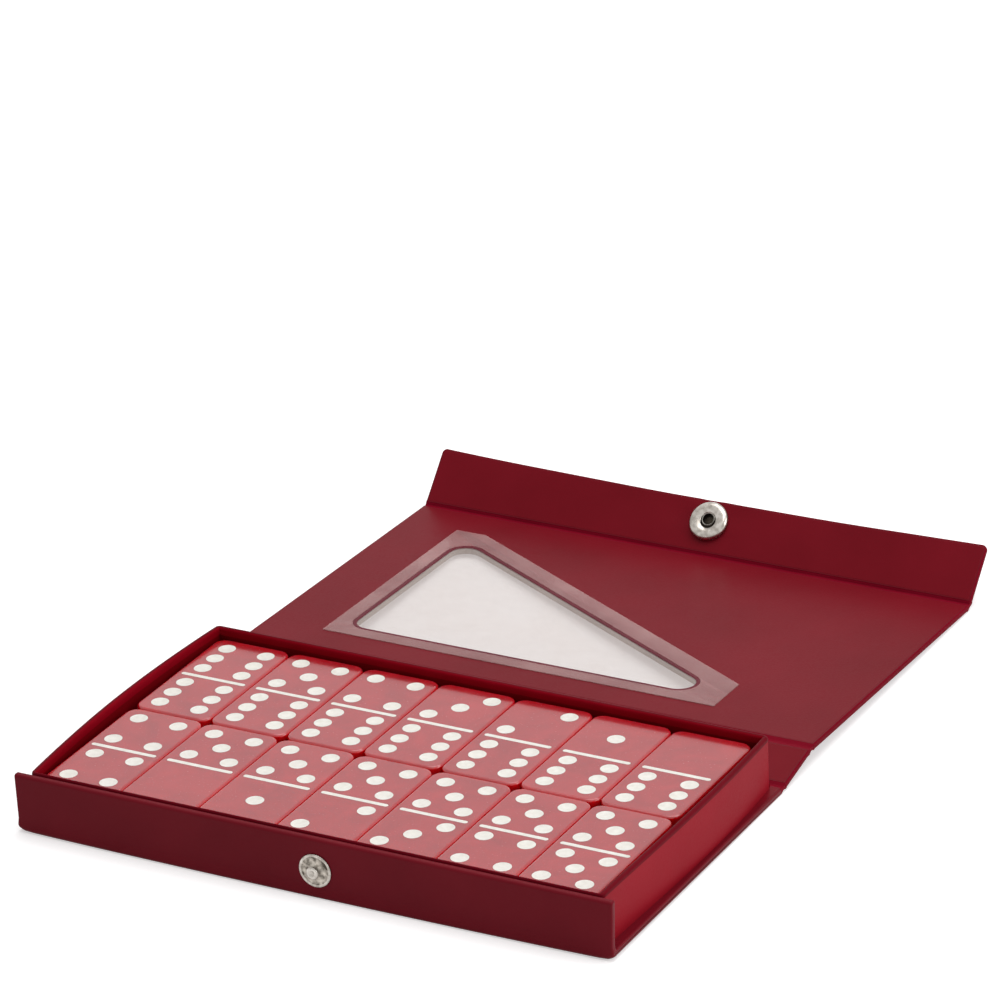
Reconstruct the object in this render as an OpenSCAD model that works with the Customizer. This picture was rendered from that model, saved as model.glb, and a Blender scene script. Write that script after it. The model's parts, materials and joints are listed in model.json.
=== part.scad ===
// Storage case for a double-six set of dominoes.
// A shallow tray holds two layers of fourteen dominoes. A wrap-around cover of leatherette over
// board is glued to the tray's floor and front wall. Its spine, lid and flap fold on three creases,
// the lid has a triangular window, and the flap closes on the front panel with a snap fastener.
// The origin is the middle of the case's underside. X runs along the case, Y towards its hinge.

/* [Dominoes] */
// Length of a domino
domino_l = 48; // [46:0.5:56]
// Width of a domino
domino_w = 24; // [22:0.5:30]
// Thickness of a domino
domino_t = 6; // [5:0.25:9]
// Radius of a domino's four corners, seen from above
domino_corner_r = 3.5; // [1.5:0.25:4]
// Radius along a domino's upper and lower edges
domino_edge_r = 0.8; // [0.4:0.1:1.2]
// Diameter of a pip
pip_d = 5; // [3:0.1:5.2]
// Depth of a pip's dish
pip_depth = 0.5; // [0.2:0.1:0.8]
// Distance between the two columns of pips
pip_column_pitch = 12.7; // [9:0.1:13]
// Distance between rows of pips in one half
pip_row_pitch = 6.8; // [5.5:0.1:7]
// How far the pips of each half sit towards the dividing groove
pip_inset = 0.3; // [0:0.1:0.8]
// Length of the dividing groove
groove_l = 20.6; // [12:0.2:21]
// Width of the dividing groove
groove_w = 1.5; // [0.6:0.1:1.6]
// Depth of the dividing groove
groove_depth = 0.4; // [0.2:0.1:0.6]
// Gap between dominoes that lie side by side
gap_side = 0.2; // [0.1:0.05:0.5]
// Gap between the two rows of dominoes
gap_end = 0.4; // [0.1:0.1:1]

/* [Tray] */
// Gap between the dominoes and the tray's left wall
play_left = 0.2; // [0.1:0.1:2]
// Gap between the dominoes and the tray's right wall
play_right = 1.8; // [0.1:0.1:4]
// Gap between the dominoes and the tray's front and rear walls
play_end = 0.4; // [0.1:0.1:1]
// Height of the tray's rim above the dominoes
rim_rise = 2.9; // [1:0.1:8]
// Board thickness of the tray's walls
wall_board_t = 1.2; // [0.8:0.1:3]
// Board thickness of the tray's floor
floor_board_t = 1.2; // [0.8:0.1:3]

/* [Cover] */
// Board thickness inside the cover's five panels
board_t = 1.6; // [1:0.1:3]
// Thickness of the leatherette, and of the lining
skin_t = 0.3; // [0.2:0.05:0.4]
// How far the cover stands out past each end of the tray
overhang = 2.9; // [1:0.1:6]
// How far the front panel ends below the tray's rim
front_step = 0.8; // [0.2:0.1:4]
// Room between the tray and the closed spine
spine_room = 0.8; // [0.3:0.1:3]
// Room between the tray's rim and the closed lid
lid_room = 0.2; // [0.1:0.1:2]
// Height of the closed flap's free edge above what the case stands on
flap_foot = 0.3; // [0.1:0.1:2]
// Gap between the strip along each crease and the panel that folds there
crease_gap = 0.3; // [0.2:0.05:0.4]
// Room between a board and its neighbour when they are folded square
fold_room = 0.1; // [0.05:0.05:0.5]
// Radius of the cover's free corners
free_corner_r = 1.5; // [0.5:0.25:4]
// Radius of each round-over on the lid's window
window_r = 5; // [2:0.25:6]

/* [Window] */
// Distance from the lid's left edge to the window
window_left = 24.8; // [15:0.2:40]
// Distance from the spine's crease to the window
window_near = 17.8; // [12:0.2:20]
// Length of the window along the case, to the sharp corner
window_w = 122.6; // [80:0.2:130]
// Length of the window across the case, to the sharp corner
window_l = 69.5; // [40:0.5:78]
// Thickness of the clear film behind the window
film_t = 0.3; // [0.2:0.05:0.5]
// How far the film laps past the window's two square sides
film_lap = 6; // [3:0.5:10]
// How far the film laps past the window's sloping side
film_slope_lap = 7.8; // [3:0.2:10]
// How much of the film's point is cut off, short of the window's sharp corner
film_tip_cut = 2.6; // [0:0.2:4]
// How far the film's top edge lies past the window's sharp corner
film_top_lap = 6.7; // [3:0.1:8]

/* [Snap fastener] */
// Sideways place of the snap
snap_x = 2.8; // [-20:0.2:20]
// How far the snap sits past the middle of the flap
snap_low = 1.8; // [-1:0.1:2]
// Diameter of the stud's flange
stud_d = 9.8; // [8:0.1:11]
// Thickness of the stud's flange
stud_flange_t = 0.5; // [0.3:0.1:0.8]
// Diameter of the stud's neck
stud_neck_d = 2.6; // [2:0.1:3]
// Diameter of the stud's head
stud_head_d = 3.6; // [3.4:0.1:4]
// Thickness of the stud's head
stud_head_t = 0.6; // [0.4:0.05:0.6]
// Gap round the stud's head and past its end, inside the socket
head_gap = 0.2; // [0.15:0.05:0.3]
// Diameter of the socket
socket_d = 11.6; // [10:0.1:13]
// Height of the socket above the flap's lining
socket_h = 2; // [1.9:0.1:3]
// Thickness of the socket's base
socket_base_t = 0.2; // [0.15:0.05:0.25]
// Wire diameter of the socket's ring spring
spring_wire_d = 0.4; // [0.35:0.05:0.45]
// How far the ring spring reaches in behind the stud's head
spring_grip = 0.1; // [0.05:0.05:0.15]
// Gap round the ring spring in its groove
spring_play = 0.05; // [0.05:0.05:0.1]
// Gap between the stud's flange and the socket when the snap is closed
snap_gap = 0.3; // [0.1:0.05:1]
// Diameter of the cap outside the flap
cap_d = 12.4; // [9:0.1:14]
// Height of the cap outside the flap
cap_h = 1.2; // [0.8:0.1:2]
// Diameter of the rivets that hold the stud and the socket
rivet_d = 3; // [2:0.1:3.2]
// Gap round each rivet in its hole
rivet_gap = 0.1; // [0.05:0.05:0.2]
// Thickness of the cap's rivet where it is spread inside the socket
rivet_flare_t = 0.2; // [0.1:0.05:0.25]
// Diameter of the rivet's head behind the front panel
rivet_head_d = 8; // [6:0.2:10]
// Thickness of the rivet's head behind the front panel
rivet_head_t = 0.6; // [0.4:0.1:0.9]

/* [Open position] */
// Slope of the spine above the table
spine_slope = 12; // [4:1:30]
// Slope of the flap above the table
flap_slope = 46; // [20:1:80]
// Gap between the lid's lowest edge and the table
table_gap = 0.1; // [0.05:0.05:0.5]

/* [Hidden] */
columns = 7;
highest = 6;
layers = 2;
$fn = 64;
// How far a cut runs past the surface that it leaves
past = 0.5;
arc_steps = 6;

// Which numbers lie where, each row from left to right as [rear half, front half]
upper_rear = [for (c = [0 : columns - 1]) [highest - c, highest]];
upper_front = concat([[4, 4]], [for (c = [0 : columns - 2]) [5, c]]);
lower_rear = [[4, 3], [4, 2], [4, 1], [4, 0], [3, 3], [3, 2], [3, 1]];
lower_front = [[3, 0], [2, 2], [2, 1], [2, 0], [1, 1], [1, 0], [0, 0]];
// Rows by layer, and front before rear in each layer
rows = [[lower_front, lower_rear], [upper_front, upper_rear]];
// Every domino as [layer, row, column, number on its rear half, number on its front half]
DOMINOES = [
    for (layer = [0 : layers - 1], row = [0, 1], c = [0 : columns - 1])
        [layer, row, c, rows[layer][row][c][0], rows[layer][row][c][1]]
];
function domino_name(d) = str("domino_", max(d[3], d[4]), "_", min(d[3], d[4]));

// Places of the pips in one half, as [column, row] with 1 towards +X and +Y
pair = [[1, 1], [-1, -1]];
corners = [for (x = [-1, 1], y = [-1, 1]) [x, y]];
pip_places = [
    [],
    [[0, 0]],
    pair,
    concat(pair, [[0, 0]]),
    corners,
    concat(corners, [[0, 0]]),
    concat(corners, [[-1, 0], [1, 0]])
];
pip_dish_r = (pow(pip_d / 2, 2) + pow(pip_depth, 2)) / (2 * pip_depth);
half_centre = domino_l / 4 - pip_inset;

// Set of dominoes and tray
pitch_x = domino_w + gap_side;
pitch_y = domino_l + gap_end;
set_w = columns * pitch_x - gap_side;
set_l = 2 * pitch_y - gap_end;
wall_t = wall_board_t + 2 * skin_t;
tray_in_w = set_w + play_left + play_right;
tray_in_l = set_l + 2 * play_end;
tray_w = tray_in_w + 2 * wall_t;
tray_l = tray_in_l + 2 * wall_t;
set_x = (play_left - play_right) / 2;

// Heights
panel_t = board_t + 2 * skin_t;
half_t = panel_t / 2;
floor_z = panel_t + floor_board_t;
rim_z = floor_z + layers * domino_t + rim_rise;
front_top = rim_z - front_step;

// Cover: creases lie at half the panels' thickness, and a panel starts at its setback from a crease
case_half_w = tray_w / 2 + overhang;
setback = half_t + fold_room;
strip_reach = setback - crease_gap;
front_y = -tray_l / 2;
front_face_y = front_y - panel_t;
snap_stack = stud_flange_t + snap_gap + socket_h;
spine_crease_y = tray_l / 2 + spine_room + half_t;
lid_closed_z = rim_z + lid_room + half_t;
spine_l = lid_closed_z - half_t;
lid_l = spine_crease_y - front_face_y + snap_stack + half_t;
flap_l = lid_closed_z - flap_foot;

// Open position: the lid slopes down until its lower edge at the flap is just off the table
lid_crease_y = spine_crease_y + spine_l * cos(spine_slope);
lid_crease_z = half_t + spine_l * sin(spine_slope);
lid_end = lid_l - setback;
lid_slope = asin((lid_crease_z - table_gap) / norm([lid_end, half_t])) - atan(half_t / lid_end);
flap_crease_y = lid_crease_y + lid_l * cos(lid_slope);
flap_crease_z = lid_crease_z - lid_l * sin(lid_slope);

// Window and film, as points on the lid, seen from inside
window_x = window_left - case_half_w;
window_corners = [
    [window_x, window_near],
    [window_x + window_w, window_near],
    [window_x, window_near + window_l]
];
slope_rise = window_l / window_w;
slope_shift = film_slope_lap * norm([window_w, window_l]) / window_w;
film_left = window_x - film_lap;
film_near = window_near - film_lap;
film_right = window_x + window_w - film_tip_cut;
film_top = window_near + window_l + film_top_lap;
function film_slope_y(x) = window_near + slope_shift + (window_x + window_w - x) * slope_rise;
function film_slope_x(y) = window_x + window_w - (y - window_near - slope_shift) / slope_rise;

// Snap, with heights above the flap's lining, towards the front panel when the flap is closed
snap_drop = flap_l / 2 + snap_low;
snap_z = lid_closed_z - snap_drop;
socket_bore_d = stud_head_d + 2 * head_gap;
spring_r = stud_head_d / 2 - spring_grip + spring_wire_d / 2;
head_low = socket_base_t + rivet_flare_t + head_gap;
groove_low = head_low + stud_head_t;
groove_h = spring_wire_d + 2 * spring_play;
groove_r = spring_r + spring_wire_d / 2 + spring_play;

// ---- Shapes that repeat ----

// Points of an arc of radius r about a centre
function arc(centre, r, from, to) = [
    for (i = [0 : arc_steps])
        let (angle = from + (to - from) * i / arc_steps)
        centre + r * [cos(angle), sin(angle)]
];

// A panel's outline from y = start to y = stop, with its two far corners rounded
function panel_outline(start, stop, half_w, r) = concat(
    [[-half_w, start], [half_w, start]],
    r > 0 ? arc([half_w - r, stop - r], r, 0, 90) : [[half_w, stop]],
    r > 0 ? arc([-half_w + r, stop - r], r, 90, 180) : [[-half_w, stop]]
);

// A sharp corner replaced by an arc that is tangent to both of its sides
function unit(v) = v / norm(v);
function round_corner(before, corner, after, r) =
    let (
        a = unit(before - corner),
        b = unit(after - corner),
        half = acos(a * b) / 2,
        centre = corner + unit(a + b) * r / sin(half),
        from = centre - corner - a * ((centre - corner) * a),
        to = centre - corner - b * ((centre - corner) * b),
        start = atan2(-from[1], -from[0]),
        turn = 180 - 2 * half
    )
    arc(centre, r, start, start + turn);

function round_polygon(points, r) =
    let (n = len(points))
    [for (i = [0 : n - 1]) each round_corner(points[(i + n - 1) % n], points[i], points[(i + 1) % n], r)];

// A flat sheet between two heights
module sheet(start, stop, half_w, r, low, high) {
    translate([0, 0, low]) linear_extrude(high - low) polygon(panel_outline(start, stop, half_w, r));
}

// What lies inside a panel's leatherette, between two heights
module panel_core(start, stop, r, low, high) {
    sheet(start + skin_t, stop - skin_t, case_half_w - skin_t, max(r - skin_t, 0), low, high);
}

// The three layers of a panel. They run along +Y from start to stop, with the lining towards +Z
module panel_cover(start, stop, r = 0) {
    difference() {
        sheet(start, stop, case_half_w, r, -half_t, half_t);
        panel_core(start, stop, r, skin_t - half_t, half_t + past);
    }
}

module panel_board(start, stop, r = 0) {
    panel_core(start, stop, r, skin_t - half_t, half_t - skin_t);
}

module panel_lining(start, stop, r = 0) {
    panel_core(start, stop, r, half_t - skin_t, half_t);
}

// Leatherette and lining pressed together along a crease. The strip is glued to the panel before
// the crease and reaches just past it
module crease_strip(crease) {
    sheet(crease - setback, crease + strip_reach, case_half_w, 0, -skin_t, skin_t);
}

// Places of the panels. Each one's own Y runs away from its crease
module at_base() {
    translate([0, 0, half_t]) children();
}

module at_front() {
    translate([0, front_y - half_t, 0]) rotate([90, 0, 180]) children();
}

module at_spine() {
    translate([0, spine_crease_y, half_t]) rotate([spine_slope, 0, 0]) children();
}

module at_lid() {
    translate([0, lid_crease_y, lid_crease_z]) rotate([-lid_slope, 0, 0]) children();
}

module at_flap() {
    translate([0, flap_crease_y, flap_crease_z]) rotate([flap_slope, 0, 0]) children();
}

// A block centred on X and Y
module block(w, l, low, high) {
    translate([-w / 2, -l / 2, low]) cube([w, l, high - low]);
}

// ---- Cover ----

module base_cover() {
    color("#5a0f1e") at_base() panel_cover(front_y, spine_crease_y - setback);
}

module base_crease() {
    color("#5a0f1e") at_base() crease_strip(spine_crease_y);
}

module base_board() {
    color("#8d8478") at_base() panel_board(front_y, spine_crease_y - setback);
}

module base_lining() {
    color("#6c121e") at_base() panel_lining(front_y, spine_crease_y - setback);
}

// Leatherette that turns up from the base to the front panel
module front_crease() {
    color("#5a0f1e")
        translate([0, front_y, panel_t]) rotate([90, 0, 90]) linear_extrude(2 * case_half_w, center = true)
            intersection() {
                difference() {
                    circle(panel_t);
                    circle(panel_t - skin_t);
                }
                translate([-panel_t, -panel_t]) square(panel_t);
            }
}

module front_cover() {
    color("#55141e") difference() {
        at_front() panel_cover(panel_t, front_top, free_corner_r);
        stud_hole();
    }
}

module front_board() {
    color("#8d8478") difference() {
        at_front() panel_board(panel_t, front_top, free_corner_r);
        stud_hole();
        rivet_head_recess();
    }
}

module front_lining() {
    color("#6c121e") difference() {
        at_front() panel_lining(panel_t, front_top, free_corner_r);
        rivet_head_recess();
    }
}

module spine_cover() {
    color("#5a0f1e") at_spine() panel_cover(setback, spine_l - setback);
}

module spine_crease() {
    color("#5a0f1e") at_spine() crease_strip(spine_l);
}

module spine_board() {
    color("#8d8478") at_spine() panel_board(setback, spine_l - setback);
}

module spine_lining() {
    color("#73252c") at_spine() panel_lining(setback, spine_l - setback);
}

module window() {
    translate([0, 0, -panel_t]) linear_extrude(2 * panel_t) polygon(round_polygon(window_corners, window_r));
}

module lid_cover() {
    color("#5a0f1e") at_lid() difference() {
        panel_cover(setback, lid_end);
        window();
    }
}

module lid_crease() {
    color("#5a0f1e") at_lid() crease_strip(lid_l);
}

module lid_board() {
    color("#8d8478") at_lid() difference() {
        panel_board(setback, lid_end);
        window();
    }
}

module lid_lining() {
    color("#80363c") at_lid() difference() {
        panel_lining(setback, lid_end);
        window();
    }
}

// Clear film welded to the inside of the lid
module window_film() {
    color([0.9, 0.88, 0.88, 0.4]) at_lid() translate([0, 0, half_t]) linear_extrude(film_t) polygon([
        [film_left, film_near],
        [film_right, film_near],
        [film_right, film_slope_y(film_right)],
        [film_slope_x(film_top), film_top],
        [film_left, film_top]
    ]);
}

module flap_cover() {
    color("#5a0f1e") at_flap() difference() {
        panel_cover(setback, flap_l, free_corner_r);
        cap_hole();
    }
}

module flap_board() {
    color("#8d8478") at_flap() difference() {
        panel_board(setback, flap_l, free_corner_r);
        cap_hole();
    }
}

module flap_lining() {
    color("#6c121e") at_flap() difference() {
        panel_lining(setback, flap_l, free_corner_r);
        cap_hole();
    }
}

// ---- Tray ----

module tray_floor() {
    color("#7a0016") block(tray_w - 2 * skin_t, tray_l - 2 * skin_t, panel_t, floor_z);
}

// Board of a long wall, from corner to corner; side is -1 at the front and 1 at the rear
module long_wall(side) {
    translate([0, side * (tray_l / 2 - skin_t - wall_board_t / 2), 0])
        block(tray_w - 2 * skin_t, wall_board_t, floor_z, rim_z - skin_t);
}

// Board of an end wall, between the long walls; side is -1 at the left and 1 at the right
module end_wall(side) {
    translate([side * (tray_w / 2 - skin_t - wall_board_t / 2), 0, 0])
        block(wall_board_t, tray_in_l + 2 * skin_t, floor_z, rim_z - skin_t);
}

module tray_wall_front() {
    color("#8d8478") long_wall(-1);
}

module tray_wall_rear() {
    color("#8d8478") long_wall(1);
}

module tray_wall_left() {
    color("#8d8478") end_wall(-1);
}

module tray_wall_right() {
    color("#8d8478") end_wall(1);
}

// Leatherette paper round the outside of the walls, over the rim and down their inside
module tray_wrap() {
    color("#8a1a2c") difference() {
        block(tray_w, tray_l, panel_t, rim_z);
        block(tray_w - 2 * skin_t, tray_l - 2 * skin_t, panel_t - past, floor_z);
        block(tray_in_w, tray_in_l, floor_z - past, rim_z + past);
        difference() {
            block(tray_w - 2 * skin_t, tray_l - 2 * skin_t, floor_z - past, rim_z - skin_t);
            block(tray_in_w + 2 * skin_t, tray_in_l + 2 * skin_t, floor_z - past, rim_z);
        }
    }
}

// ---- Snap fastener ----

// Stands on the front panel's outer face at the snap, with its own Z pointing out of the case
module at_stud() {
    translate([snap_x, front_face_y, snap_z]) rotate([90, 0, 0]) children();
}

// Stands on the flap's lining at the snap, with its own Z pointing away from the flap
module at_socket() {
    at_flap() translate([snap_x, snap_drop, half_t]) children();
}

module stud_hole() {
    at_stud() translate([0, 0, -panel_t - past])
        cylinder(d = rivet_d + 2 * rivet_gap, h = panel_t + 2 * past);
}

module rivet_head_recess() {
    at_stud() translate([0, 0, -panel_t - past])
        cylinder(d = rivet_head_d + 2 * rivet_gap, h = rivet_head_t + past);
}

// Hole for the cap's rivet, in the flap's own place
module cap_hole() {
    translate([snap_x, snap_drop, -panel_t]) cylinder(d = rivet_d + 2 * rivet_gap, h = 2 * panel_t);
}

// Flange, neck and head of the male half, on the front panel
module snap_stud() {
    head_top = snap_stack - head_low;
    color("#b9b4ae") at_stud() rotate_extrude() {
        square([stud_d / 2, stud_flange_t]);
        square([stud_neck_d / 2, head_top]);
        translate([0, head_top - stud_head_t]) square([stud_head_d / 2, stud_head_t]);
    }
}

// Rivet whose head lies behind the front panel and whose shank carries the stud
module snap_rivet() {
    color("#b9b4ae") at_stud() translate([0, 0, -panel_t]) {
        cylinder(d = rivet_head_d, h = rivet_head_t);
        cylinder(d = rivet_d, h = panel_t);
    }
}

// Female half on the flap: a cup with a groove for its spring and a hole for the cap's rivet
module snap_socket() {
    color("#c4bfb8") at_socket() rotate_extrude() difference() {
        square([socket_d / 2, socket_h]);
        translate([0, -past]) square([rivet_d / 2 + rivet_gap, socket_h]);
        translate([0, socket_base_t]) square([socket_bore_d / 2, socket_h]);
        translate([0, groove_low]) square([groove_r, groove_h]);
    }
}

// Ring spring that snaps behind the stud's head
module snap_spring() {
    color("#9a9a98") at_socket() translate([0, 0, groove_low + groove_h / 2])
        rotate_extrude() translate([spring_r, 0]) circle(d = spring_wire_d);
}

// Domed cap outside the flap, with the rivet that is spread inside the socket
module snap_cap() {
    rim = cap_h / 2;
    shank = panel_t + socket_base_t;
    color("#b9b4ae") at_socket() translate([0, 0, -panel_t]) {
        cylinder(d = rivet_d, h = shank);
        translate([0, 0, shank]) cylinder(d = socket_bore_d - 2 * rivet_gap, h = rivet_flare_t);
        translate([0, 0, -rim]) cylinder(d = cap_d, h = rim);
        translate([0, 0, -cap_h]) cylinder(d1 = 0.7 * cap_d, d2 = cap_d, h = cap_h - rim);
    }
}

// ---- Dominoes ----

// Half of a domino's rounded edge in section, as wide as its corner radius
module edge_section() {
    square([domino_corner_r - domino_edge_r, domino_t]);
    translate([0, domino_edge_r]) square([domino_corner_r, domino_t - 2 * domino_edge_r]);
    for (z = [domino_edge_r, domino_t - domino_edge_r])
        translate([domino_corner_r - domino_edge_r, z]) circle(domino_edge_r);
}

// A domino without its marks: a core, four edges and four corners of one section
module blank() {
    core = [domino_w - 2 * domino_corner_r, domino_l - 2 * domino_corner_r];
    block(core[0], core[1], 0, domino_t);
    for (turn = [0 : 3]) {
        across = turn % 2 == 0 ? core[0] : core[1];
        along = turn % 2 == 0 ? core[1] : core[0];
        rotate([0, 0, 90 * turn]) translate([across / 2, 0, 0]) {
            rotate([90, 0, 0]) linear_extrude(along, center = true) edge_section();
            translate([0, along / 2, 0]) rotate_extrude(angle = 90) edge_section();
        }
    }
}

module pips(number) {
    for (p = pip_places[number])
        translate([p[0] * pip_column_pitch / 2, p[1] * pip_row_pitch, domino_t - pip_depth + pip_dish_r])
            sphere(pip_dish_r);
}

module dividing_groove() {
    translate([0, 0, domino_t - groove_depth]) linear_extrude(groove_depth + past) {
        square([groove_l - groove_w, groove_w], center = true);
        for (side = [-1, 1]) translate([side * (groove_l - groove_w) / 2, 0]) circle(d = groove_w);
    }
}

// One domino of the set, d as in DOMINOES, where it lies in the tray
module domino(d) {
    x = set_x + (d[2] - (columns - 1) / 2) * pitch_x;
    y = (d[1] - 0.5) * pitch_y;
    color("#b5141c") translate([x, y, floor_z + d[0] * domino_t]) difference() {
        blank();
        translate([0, half_centre, 0]) pips(d[3]);
        translate([0, -half_centre, 0]) pips(d[4]);
        dividing_groove();
    }
}

base_cover();
base_board();
base_lining();
base_crease();
front_crease();
front_cover();
front_board();
front_lining();
tray_floor();
tray_wall_front();
tray_wall_rear();
tray_wall_left();
tray_wall_right();
tray_wrap();
spine_cover();
spine_board();
spine_lining();
spine_crease();
lid_cover();
lid_board();
lid_lining();
lid_crease();
window_film();
flap_cover();
flap_board();
flap_lining();
snap_stud();
snap_rivet();
snap_socket();
snap_spring();
snap_cap();
for (d = DOMINOES)
    domino(d);
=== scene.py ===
"""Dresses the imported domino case: leatherette panels, creases, tray, snap and dominoes, in metres."""

import json
import math

import bmesh
import bpy
from mathutils import Matrix, Vector, noise
from mathutils.geometry import tessellate_polygon


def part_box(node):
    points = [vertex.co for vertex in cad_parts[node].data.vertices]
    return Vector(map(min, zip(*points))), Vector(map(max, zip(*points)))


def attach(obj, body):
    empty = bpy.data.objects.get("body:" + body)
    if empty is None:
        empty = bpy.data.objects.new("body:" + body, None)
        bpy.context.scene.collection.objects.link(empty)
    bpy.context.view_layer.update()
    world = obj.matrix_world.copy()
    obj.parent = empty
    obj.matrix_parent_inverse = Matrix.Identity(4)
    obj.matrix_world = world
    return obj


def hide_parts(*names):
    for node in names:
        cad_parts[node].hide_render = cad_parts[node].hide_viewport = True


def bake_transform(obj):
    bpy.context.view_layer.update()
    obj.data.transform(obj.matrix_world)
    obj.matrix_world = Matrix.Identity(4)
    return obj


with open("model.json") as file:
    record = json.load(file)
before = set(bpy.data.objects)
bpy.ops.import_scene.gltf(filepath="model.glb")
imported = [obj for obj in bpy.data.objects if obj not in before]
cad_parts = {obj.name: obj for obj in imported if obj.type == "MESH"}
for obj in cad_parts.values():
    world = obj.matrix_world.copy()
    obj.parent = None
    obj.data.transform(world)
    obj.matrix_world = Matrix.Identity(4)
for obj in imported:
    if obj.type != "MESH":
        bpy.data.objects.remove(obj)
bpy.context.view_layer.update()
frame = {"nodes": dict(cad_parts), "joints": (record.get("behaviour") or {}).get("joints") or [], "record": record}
MM = 0.001
JOINTS = {j["name"]: j for j in frame["joints"]}
BODY_OF = {n: b for b, nodes in frame["record"]["behaviour"]["bodies"].items() for n in nodes}


# ---- Sizes: read from the frame, and the few that it doesn't hold ----

def pivot(joint):
    """A point of the joint's axis, in the middle of the case's length."""
    return Vector(JOINTS[joint]["pos_m"])


def slope(a, b):
    """Angle above the horizontal from one crease to the next."""
    return math.atan2(b.z - a.z, b.y - a.y)


PIVOT_A, PIVOT_B, PIVOT_C = pivot("spine_hinge"), pivot("lid_hinge"), pivot("flap_hinge")
SPINE_SLOPE = slope(PIVOT_A, PIVOT_B)
LID_SLOPE = slope(PIVOT_B, PIVOT_C)
FLAP_SLOPE = math.radians(90 - JOINTS["flap_hinge"]["range_deg"][1]) + LID_SLOPE
SPINE_L = (PIVOT_B - PIVOT_A).length
LID_L = (PIVOT_C - PIVOT_B).length

BASE_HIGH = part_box("base_cover")[1]
FRONT_LOW, FRONT_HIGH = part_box("front_cover")
WRAP_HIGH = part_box("tray_wrap")[1]
STUD_LOW, STUD_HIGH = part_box("snap_stud")
HALF_W = BASE_HIGH.x
PANEL_T = BASE_HIGH.z
HALF_T = PANEL_T / 2
SETBACK = PIVOT_A.y - BASE_HIGH.y
TRAY_HALF_IN = 85.6 * MM  # half the tray's length inside
WALL_T = WRAP_HIGH.x - TRAY_HALF_IN
RIM_Z = WRAP_HIGH.z
SKIN_T = RIM_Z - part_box("tray_wall_front")[1].z
FLAP_L = 19.3 * MM        # from the crease to the flap's free edge
SNAP_LOW = 1.8 * MM       # how far past the flap's middle the snap sits
SNAP_X = (STUD_LOW.x + STUD_HIGH.x) / 2
SNAP_Z = (STUD_LOW.z + STUD_HIGH.z) / 2
SNAP_DROP = FLAP_L / 2 + SNAP_LOW

TURN_IN = 0.7 * MM        # leatherette that shows round a lining's edge
LINING_PROUD = 0.04 * MM  # how far a lining stands above that leatherette
EDGE_R = 0.85 * MM        # rounding along a panel's outer edges
INNER_EDGE_R = 0.5 * MM   # rounding along its inner edges
LINING_R = 0.12 * MM      # rounding along a lining's edges
FREE_R = 1.5 * MM         # corners of the flap's free edge


# ---- Mesh helpers ----

def place(origin, angle):
    """Carries (x, along, out) from a panel's own frame, out towards its lining, to the case's frame."""
    return Matrix.Translation(origin) @ Matrix.Rotation(angle, 4, "X")


def finish_mesh(name, bm, body, material, replaces=(), sharp=40, weighted=True):
    """Turns a bmesh into a smooth-shaded piece that rides on a body."""
    bmesh.ops.remove_doubles(bm, verts=bm.verts, dist=1e-7)
    bmesh.ops.recalc_face_normals(bm, faces=bm.faces)
    mesh = bpy.data.meshes.new(name)
    bm.to_mesh(mesh)
    bm.free()
    mesh.shade_smooth()
    mesh.set_sharp_from_angle(angle=math.radians(sharp))
    for each in material if isinstance(material, tuple) else (material,):
        mesh.materials.append(each)
    piece = bpy.data.objects.new(name, mesh)
    bpy.context.scene.collection.objects.link(piece)
    if weighted:
        modifier = piece.modifiers.new("weighted", "WEIGHTED_NORMAL")
        modifier.keep_sharp = True
    if body:
        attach(piece, body)
    if replaces:
        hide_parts(*replaces)
    return piece


def smooth(t):
    """Rises from 0 at 0 to 1 at 1, level at both ends."""
    t = min(1.0, max(0.0, t))
    return t * t * (3 - 2 * t)


def crown(x):
    """1 at the middle of the case's length and 0 at its ends."""
    return 1 - min(1.0, abs(x) / HALF_W) ** 2


ARC_STEP = 0.16          # radians between the points of a rounded corner
SHARPEST = 0.3           # limits how far the tip of a sharp corner moves when an outline is inset


def rounded_loop(corners):
    """Closed outline through (x, y, radius) corners. A radius of 0 leaves the corner sharp."""
    outline = []
    for i, (x, y, r) in enumerate(corners):
        p = Vector((x, y))
        if r == 0:
            outline.append(p)
            continue
        a = (Vector(corners[i - 1][:2]) - p).normalized()
        b = (Vector(corners[(i + 1) % len(corners)][:2]) - p).normalized()
        half = a.angle(b) / 2
        centre = p + (a + b).normalized() * r / math.sin(half)
        first, last = (p + v * r / math.tan(half) - centre for v in (a, b))
        start = math.atan2(first.y, first.x)
        turn = (math.atan2(last.y, last.x) - start + math.pi) % (2 * math.pi) - math.pi
        steps = max(4, round(abs(turn) / ARC_STEP))
        for k in range(steps + 1):
            angle = start + turn * k / steps
            outline.append(centre + r * Vector((math.cos(angle), math.sin(angle))))
    return outline


def inset(loop, distance):
    """The outline moved to its left by a distance, which is inwards on a counter-clockwise one."""
    moved = []
    for i, p in enumerate(loop):
        a, b = (p - loop[i - 1]).normalized(), (loop[(i + 1) % len(loop)] - p).normalized()
        normal = Vector((-(a + b).y, (a + b).x)).normalized()
        square = Vector((-a.y, a.x))
        moved.append(p + normal * distance / max(SHARPEST, normal.dot(square)))
    return moved


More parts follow.
